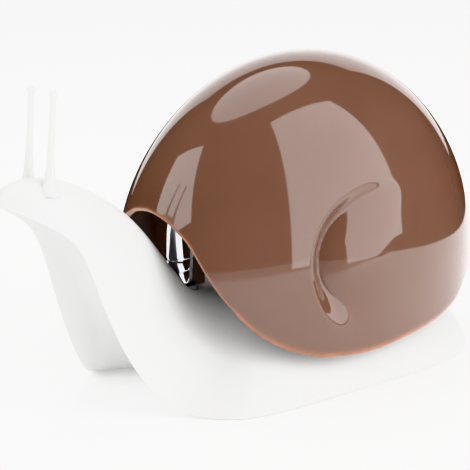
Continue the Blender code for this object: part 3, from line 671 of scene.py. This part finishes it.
def dome_place(point):
    """The angle round the dome and the lift of a point of the mesh."""
    x, y, z = point.x, point.y + CENTRE_Y - SHELL_Y, point.z - SHELL_Z
    turn = math.atan2(x / SHELL_RX, -y / SHELL_RY) % (2 * math.pi)
    tall = SHELL_RZ if z > 0 else SHELL_LOW
    size = math.sqrt((x / SHELL_RX) ** 2 + (y / SHELL_RY) ** 2 + (z / tall) ** 2)
    return turn, math.asin(max(-1.0, min(1.0, z / tall / size)))


def on_outside(point):
    """True where a point lies in the outer half of the wall."""
    surface, normal = dome_frame(*dome_place(point))
    here = Vector((point.x, point.y + CENTRE_Y, point.z))
    return (surface - here).dot(normal) < whorl(surface) + SHELL_WALL * OUTER_SHARE


def painted_rim_glow(point):
    """How much painted rim glow a point gets: 1 at the rim, falling to 0 a little above it."""
    turn, lift = dome_place(point)
    return 1.0 - smoothstep(*PAINTED_GLOW_HEIGHTS, (lift - rim_lift(turn)) * SHELL_RZ)


# ---------------------------------------------------------------- base plate, feet, screws
def make_base(plate_mat, rubber, metal):
    """The plate that closes the body, with a round groove underneath, recesses for the pads, screw holes,
    pads and cross-head screws.
    """
    rings = []
    for y, _, half_width, _ in smooth_rows(HOLLOW, 26):
        y = max(-13.0, min(81.4, y))
        half = half_width - 2.0
        outline = [(half - 0.4, 0.8), (half, 1.2), (half, 3.2), (-half, 3.2), (-half, 1.2),
                   (-half + 0.4, 0.8)]
        rings.append([at(x, y, z) for x, z in outline])
    cuts = [("DIFFERENCE", rod(y, 0, 1.8, 4.8, x)) for x, y in FEET.values()]
    for x, y in POSTS:
        hole = [(0, 3.3), (1.9, 3.3), (1.9, 1.5), (5, 1.5)]
        cuts.append(("DIFFERENCE", turned("hole", hole, at(x, y, 0), 32)))
    groove = [(0.0, 20.0), (1.25, 20.0), (1.25, 21.2), (0.0, 21.2)]
    cuts.append(("DIFFERENCE", turned("groove", groove, at(0, PUMP_Y, 0), 96, loop=True)))
    finish("bottom_plate", combined(mesh_from("plate", rings), *cuts), plate_mat, "base_plate")

    for name, (x, y) in FEET.items():
        profile = rounded([(0.35, 0.3), (0.35, 3.0), (0.0, 3.3), (0, 4.1), (0.4, 4.5), (1.5, 4.5)], 0.2)
        finish(name + "_pad", turned(name, profile, at(x, y, 0), 48), rubber, name)

    for i, (x, y) in enumerate(POSTS):
        name = "base_screw_%d" % (i + 1)
        profile = rounded([(0.85, 0.3), (0.85, 2.5), (1.15, 3.0), (1.6, 3.0), (1.6, 1.2)], 0.2)
        profile = profile[:-1] + [(1.6, 1.0)]
        pitch = 1.0
        z = 1.8
        while z < 10.5:
            profile += [(z, 0.95), (z + 0.4 * pitch, 1.2), (z + 0.6 * pitch, 1.2), (z + 0.9 * pitch, 0.95)]
            z += pitch
        profile.append((12.0, 0.3))
        slots = [("DIFFERENCE", block((3.0, 0.6, 0.9), at(x, y, 0.85))),
                 ("DIFFERENCE", block((0.6, 3.0, 0.9), at(x, y, 0.85)))]
        finish(name + "_head", combined(turned(name, profile, at(x, y, 0), 32), *slots), metal, name)


# ---------------------------------------------------------------- bottle and pump
def make_bottle(mat):
    """The blown bottle: a heel, a straight side, a rounded shoulder and a threaded neck."""
    def side(wall):
        r = BOTTLE_R - wall
        points = [(3.5 + wall, r - 4.0), (3.7 + wall, r - 2.2), (4.4 + wall, r - 0.8),
                  (5.8 + wall, r), (40.0, r)]
        for turn in range(10, 80, 10):
            a = math.radians(turn)
            points.append((40.0 + (9.0 - wall * 0.4) * math.sin(a), r - 11.0 * (1 - math.cos(a))))
        return points + [(51.6, 13.6 - wall), (52.6, 12.2 - wall), (54.0, 11.5 - wall)]

    thread = []
    for z in (58.0, 61.0):
        thread += [(z, 11.2), (z + 0.5, 11.65), (z + 1.1, 11.65), (z + 1.6, 11.2)]
    outside = [(4.6, 0.3), (4.6, 18.0), (3.5, 22.0)] + side(0.0)[:-1] + [(54.0, 11.2)] + thread
    outside += [(65.6, 11.2), (66.0, 10.9)]
    inside = [(6.1, 0.3), (6.1, 18.0), (5.0, 22.0)] + side(1.4) + [(66.0, 9.7)]
    shell = turned("bottle", outside, at(0, PUMP_Y, 0), 96)
    space = turned("space", inside + [(68.0, 9.7)], at(0, PUMP_Y, 0), 96)
    finish("soap_bottle", combined(shell, ("DIFFERENCE", space)), mat, "bottle")


def ribbed_collar(mat):
    """The screw closure, ribbed for grip."""
    count = 144
    rings = []
    profile = rounded([(57.0, 14.0), (69.9, 14.0), (70.6, 13.3), (70.6, 7.3), (69.1, 7.3), (69.1, 11.8),
                       (57.0, 11.8)], 0.3, loop=True, points=2)
    for z, r in profile:
        ring = []
        for i in range(count):
            rib = 0.35 if (i // 2) % 2 == 0 and r > 13.6 and 57.6 < z < 69.4 else 0.0
            a = 2 * math.pi * i / count
            ring.append(at(0, PUMP_Y, z) + Vector((math.cos(a), math.sin(a), 0)) * (r - rib))
        rings.append(ring)
    mesh = mesh_from("collar", rings, close=True)
    finish("closure", mesh, mat, "pump_collar", 30)


def make_pump(mats):
    """The pump's fixed pieces, its spring and its ball."""
    axis = at(0, PUMP_Y, 0)
    ribbed_collar(mats["white"])
    gasket = rounded([(66.3, 11.5), (67.3, 11.5), (67.3, 8.4), (66.3, 8.4)], 0.2, loop=True)
    finish("closure_gasket", turned("gasket", gasket, axis, loop=True), mats["rubber"],
           "collar_gasket")
    housing = rounded([(67.6, 11.3), (68.8, 11.3), (68.8, 6.5), (33.8, 6.5), (33.8, 1.7), (33.0, 1.7),
                       (33.0, 2.8), (29.0, 2.8), (27.5, 1.2), (26.0, 1.2), (26.0, 2.7), (19.5, 2.7),
                       (19.5, 3.7), (27.5, 3.7), (31.0, 8.0), (67.6, 8.0)], 0.25, loop=True, points=2)
    finish("pump_cylinder", turned("housing", housing, axis, loop=True), mats["clear"],
           "pump_housing")
    lock = rounded([(60.6, 6.2), (68.9, 6.2), (69.1, 6.9), (71.5, 6.9), (71.5, 3.6), (60.6, 3.6)], 0.3,
                   loop=True, points=2)
    finish("stem_guide", turned("lock", lock, axis, loop=True), mats["white"], "housing_lock_ring")
    dip = rounded([(7.0, 2.4), (25.6, 2.4), (25.6, 1.7), (7.0, 1.7)], 0.15, loop=True, points=2)
    finish("dip_pipe", turned("dip", dip, axis, 32, loop=True), mats["clear"], "dip_tube")
    turns = [math.radians(a) for a in range(-86, 90, 8)]
    ball = [(29.9 + 2.2 * math.sin(a), 2.2 * math.cos(a)) for a in turns]
    finish("valve_ball", turned("ball", ball, axis, 32), mats["steel"], "inlet_ball", 60)

    coils, wire, radius, low, high = 6.5, 0.5, 5.3, 34.1, 51.7
    steps = int(coils * 40)
    rings = []
    for i in range(steps + 1):
        a = 2 * math.pi * coils * i / steps
        out = Vector((math.cos(a), math.sin(a), 0))
        centre = at(0, PUMP_Y, low + wire + (high - low - 2 * wire) * i / steps) + out * radius
        rings.append([centre + wire * (out * math.cos(t) + Vector((0, 0, 1)) * math.sin(t))
                      for t in (math.radians(45 * k) for k in range(8))])
    spring = finish("return_spring", mesh_from("spring", rings), mats["steel"], "pump_spring", 60)
    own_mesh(spring)


def make_pump_head(mats):
    """The pieces that go down with a press."""
    axis = at(0, PUMP_Y, 0)
    stem = rounded([(52.0, 3.1), (84.0, 3.1), (84.0, 1.6), (52.0, 1.6)], 0.2, loop=True, points=2)
    finish("stem", turned("stem", stem, axis, 40, loop=True), mats["clear"], "pump_stem")
    piston = rounded([(52.0, 6.2), (53.5, 5.9), (58.5, 5.9), (60.0, 6.2), (60.0, 3.4), (52.0, 3.4)], 0.3,
                     loop=True, points=2)
    finish("piston", turned("piston", piston, axis, 48, loop=True), mats["clear"], "pump_piston")
    back = Vector((0, -1, 0))
    head = rounded([(78.0, 0.5), (78.0, 8.5), (90.4, 8.5), (92.0, 6.9), (92.0, 0.5)], 0.7)
    bore = [(70.0, 3.4), (84.3, 3.4), (84.3, 1.8), (87.1, 1.8)]
    socket = [(0.0, 1.3), (4.0, 1.3), (4.0, 3.0), (12.0, 3.0)]
    mesh = combined(turned("head", head, axis, 72),
                    ("DIFFERENCE", turned("bore", bore, axis, 40)),
                    ("DIFFERENCE", turned("socket", socket, at(0, PUMP_Y, 85.5), 40, back)))
    finish("pump_button", mesh, mats["white"], "actuator")

    path = [at(0, PUMP_Y - 4.3, 85.5), at(0, PUMP_Y - 8.7, 85.5), at(0, PUMP_Y - 8.8, 85.5),
            at(0, PUMP_Y - 9.3, 85.5)]
    radii = [2.7, 2.7, 3.9, 4.25]
    bend = smooth_path(PIPE_BEND, 8)
    path += bend
    radii += [4.25] * len(bend)
    down = [(46.0, 4.25), (42.5, 4.25), (42.15, 4.22), (41.95, 4.1), (41.9, 3.92), (41.55, 3.92),
            (41.5, 4.05), (41.3, 4.12), (38.6, 4.08), (38.35, 4.02), (38.3, 3.78), (37.95, 3.78),
            (37.9, 3.88), (37.7, 3.92), (31.8, 3.9), (31.5, 3.7), (31.45, 2.8), (22.3, 2.8), (22.0, 2.6)]
    path += [at(0, PIPE_Y, z) for z, _ in down]
    radii += [r for _, r in down]
    finish("chrome_spout", tube("pipe", path, radii, 1.6, 48), mats["chrome"], "spout_pipe",
           40)


# ---------------------------------------------------------------- neck gland, hose and nozzle
def make_outlet(mats):
    """The gland in the neck with its ring, the hose and the nozzle under the head."""
    axis = at(0, PIPE_Y, 0)
    start, end = at(0, *HOSE[0]), at(0, *HOSE[1])
    along = (end - start).normalized()
    barrel = rounded([(14.0, 0.4), (14.0, 5.6), (33.6, 5.6), (33.6, 0.4)], 0.4)
    barb = [(-6.0, 1.0), (0.2, 1.0), (0.4, 1.25), (1.4, 1.0), (1.7, 1.25), (2.7, 1.0), (3.5, 0.9)]
    space = [(15.5, 3.1), (23.3, 3.1), (23.3, 4.4), (25.1, 4.4), (25.1, 3.1), (25.2, 3.1), (25.2, 4.45),
             (33.0, 4.45), (40.0, 4.6)]
    gland = combined(turned("barrel", barrel, axis, 60), ("UNION", turned("barb", barb, start, 24, along)),
                     ("DIFFERENCE", turned("space", space, axis, 60)),
                     ("DIFFERENCE", turned("bore", [(-9, 0.55), (5, 0.55)], start, 16, along)))
    finish("neck_gland", gland, mats["grey"], "gland")
    ring = [(24.2 + 0.55 * math.sin(a), 3.65 + 0.55 * math.cos(a))
            for a in (math.radians(30 * k) for k in range(12))]
    finish("seal_ring", turned("ring", ring, axis, loop=True), mats["rubber"], "gland_o_ring",
           60)
    path = smooth_path(HOSE, 8)
    finish("soap_hose", tube("hose", path, [2.0] * len(path), 1.3, 24), mats["soft"], "outlet_hose",
           50)

    mouth = at(0, MOUTH_Y, 0)
    hose_end = at(0, *HOSE[-1])
    back = (at(0, *HOSE[-2]) - hose_end).normalized()
    side = hose_end - back * (HOSE[-1][0] - MOUTH_Y) / back.y
    body = rounded([(64.6, 0.4), (64.6, 1.9), (65.3, 2.3), (71.8, 2.3), (71.8, 0.4)], 0.25)
    nozzle = combined(turned("nozzle", body, mouth, 40),
                      ("UNION", turned("barb", [(0.5, 1.0), (6.5, 1.0)], side, 24, back)),
                      ("DIFFERENCE", rod(MOUTH_Y, 60, side.z + 0.3, 0.9, count=24)),
                      ("DIFFERENCE", turned("bore", [(-0.5, 0.55), (8.0, 0.55)], side, 16, back)))
    finish("mouth_outlet", nozzle, mats["grey"], "mouth_nozzle")


# ---------------------------------------------------------------- floor, light, camera
def stage_surface(name, colour, strength):
    """A matt pale surface with the faintest clouds, glowing a little."""
    s = Surface(name, Roughness=0.9)
    s.colour(s.mixed(s.noise(3, 3), linear(colour), linear(tuple(c - 1 for c in colour))))
    s.shader.inputs["Emission Color"].default_value = (1, 1, 1, 1)
    s.shader.inputs["Emission Strength"].default_value = strength
    return s.mat


def plane(name, centre, size, mat, upright=False):
    """A flat sheet of the stage, lying down or standing square to the camera."""
    bm = bmesh.new()
    bmesh.ops.create_grid(bm, x_segments=1, y_segments=1, size=0.5)
    mesh = bpy.data.meshes.new(name)
    bm.to_mesh(mesh)
    bm.free()
    mesh.materials.append(mat)
    obj = bpy.data.objects.new(name, mesh)
    obj.location = centre
    obj.scale = (size[0], size[1], 1)
    if upright:
        obj.rotation_euler = (math.pi / 2, 0, CAMERA_TURN)
    bpy.context.collection.objects.link(obj)
    return obj


def softbox(name, centre, across, upward, size, radiance, round_panel=False):
    """A light panel at a place, with its two sides along given directions."""
    light = bpy.data.lights.new(name, "AREA")
    light.shape = "ELLIPSE" if round_panel else "RECTANGLE"
    light.size, light.size_y = size
    area = size[0] * size[1] * (math.pi / 4 if round_panel else 1.0)
    light.energy = radiance * math.pi * area
    obj = bpy.data.objects.new(name, light)
    x = Vector(across).normalized()
    z = x.cross(Vector(upward)).normalized()
    y = z.cross(x)
    obj.matrix_world = Matrix.Translation(centre) @ Matrix((x, y, z)).transposed().to_4x4()
    bpy.context.collection.objects.link(obj)
    return obj


CAMERA_TURN = math.radians(49.6)
CAMERA_LIFT = math.radians(15.0)
CAMERA_DISTANCE = 0.6
CAMERA_AIM = Vector((0.0, -CENTRE_Y * METRES, 0.045))
CAMERA_LENS, FILM_WIDTH, NEAREST = 145.5, 36.0, 0.01
ROOM_LIGHT, TABLE_GLOW, BACKDROP_GLOW = 0.64, 0.26, 0.55
TABLE_CENTRE, TABLE_SIDE = (1.2, -1.2, 0), 3.0      # it ends not far behind the snail
FLOOR_SIDE, FLOOR_STEP = 8.0, 0.0002
BACKDROP_AWAY, BACKDROP_SIZE = 1.6, (2.1, 1.5)

# Light panels in metres: centre, direction of the width, direction of the height, size, radiance.
PANELS = {
    "side_box": ((0.49, 0.305, 0.56), (0, 1, 0), (-0.161, 0.035, 0.986), (0.70, 1.11), 3.6),
    "top_box": ((-0.18, 0.09, 0.65), (1, 0, 0), (0, 1, 0), (0.52, 0.58), 2.7),
    "front_box": ((-0.25, -0.60, 0.551), (0.883, 0, 0.469), (-0.457, 0, 0.889), (0.488, 0.826), 3.7),
    "fill_box": ((0.36, -0.34, 0.10), (0.76, 0.65, 0), (0, 0, 1), (0.8, 0.16), 1.3),
}


def make_studio():
    """A white table and backdrop, four soft boxes and the camera."""
    back = Vector((-math.sin(CAMERA_TURN), math.cos(CAMERA_TURN), 0))
    sheet = stage_surface("white table", (249, 249, 249), TABLE_GLOW)
    plane("table", TABLE_CENTRE, (TABLE_SIDE, TABLE_SIDE), sheet)
    floor = plane("floor", (0, 0, -FLOOR_STEP), (FLOOR_SIDE, FLOOR_SIDE), sheet)
    floor.visible_glossy = False
    wall = stage_surface("white backdrop", (240, 240, 240), BACKDROP_GLOW)
    middle = back * BACKDROP_AWAY + Vector((0, 0, BACKDROP_SIZE[1] / 2))
    plane("backdrop", middle, BACKDROP_SIZE, wall, upright=True)
    for name, (centre, across, upward, size, radiance) in PANELS.items():
        panel = softbox(name, centre, across, upward, size, radiance, name == "top_box")
        if name == "fill_box":
            panel.visible_glossy = panel.visible_camera = False
    world = bpy.data.worlds.new("room")
    world.use_nodes = True
    world.node_tree.nodes["Background"].inputs["Color"].default_value = (1, 1, 1, 1)
    world.node_tree.nodes["Background"].inputs["Strength"].default_value = ROOM_LIGHT
    world.cycles_visibility.glossy = False
    scene = bpy.context.scene
    scene.world = world
    scene.view_settings.view_transform = "Khronos PBR Neutral"

    camera = bpy.data.cameras.new("camera")
    camera.lens = CAMERA_LENS
    camera.sensor_width = FILM_WIDTH
    camera.clip_start = NEAREST
    obj = bpy.data.objects.new("camera", camera)
    lift = math.cos(CAMERA_LIFT)
    away = Vector((math.sin(CAMERA_TURN) * lift, -math.cos(CAMERA_TURN) * lift, math.sin(CAMERA_LIFT)))
    obj.location = CAMERA_AIM + away * CAMERA_DISTANCE
    obj.rotation_euler = (-away).to_track_quat("-Z", "Y").to_euler()
    bpy.context.collection.objects.link(obj)
    scene.camera = obj


def main():
    white = body_plastic()
    mats = {
        "shell": shell_plastic("gloss_brown_plastic", 0.45, 0.045),
        "shell_inside": shell_plastic("satin_brown_plastic", 0.0, 0.38),
        # The pump's white plastic, with highlights painted along its convex edges.
        "white": moulded("pump_white_plastic", (232, 232, 228), 0.36, edge=(244, 244, 242)),
        "plate": moulded("plate_white_plastic", (236, 236, 234), 0.5, 0.000014, 1400),
        "rubber": moulded("black_rubber", (44, 44, 46), 0.75, 0.00002, 1200),
        "foot": moulded("grey_rubber", (92, 92, 94), 0.7, 0.00002, 1200),
        "grey": moulded("grey_plastic", (120, 122, 126), 0.45),
        "clear": clear_plastic("clear_plastic", (232, 238, 240), 0.12, 0.75),
        "bottle": clear_plastic("milky_plastic", (236, 240, 240), 0.28, 0.6),
        "soft": clear_plastic("soft_hose", (236, 234, 226), 0.3, 0.5),
        "steel": steel(),
        "chrome": chrome(),
    }
    make_body(white)
    make_feeler("antenna_left", 1, white)
    make_feeler("antenna_right", -1, white)
    make_shell(mats)
    make_base(mats["plate"], mats["foot"], mats["steel"])
    make_bottle(mats["bottle"])
    make_pump(mats)
    make_pump_head(mats)
    make_outlet(mats)
    make_studio()


main()
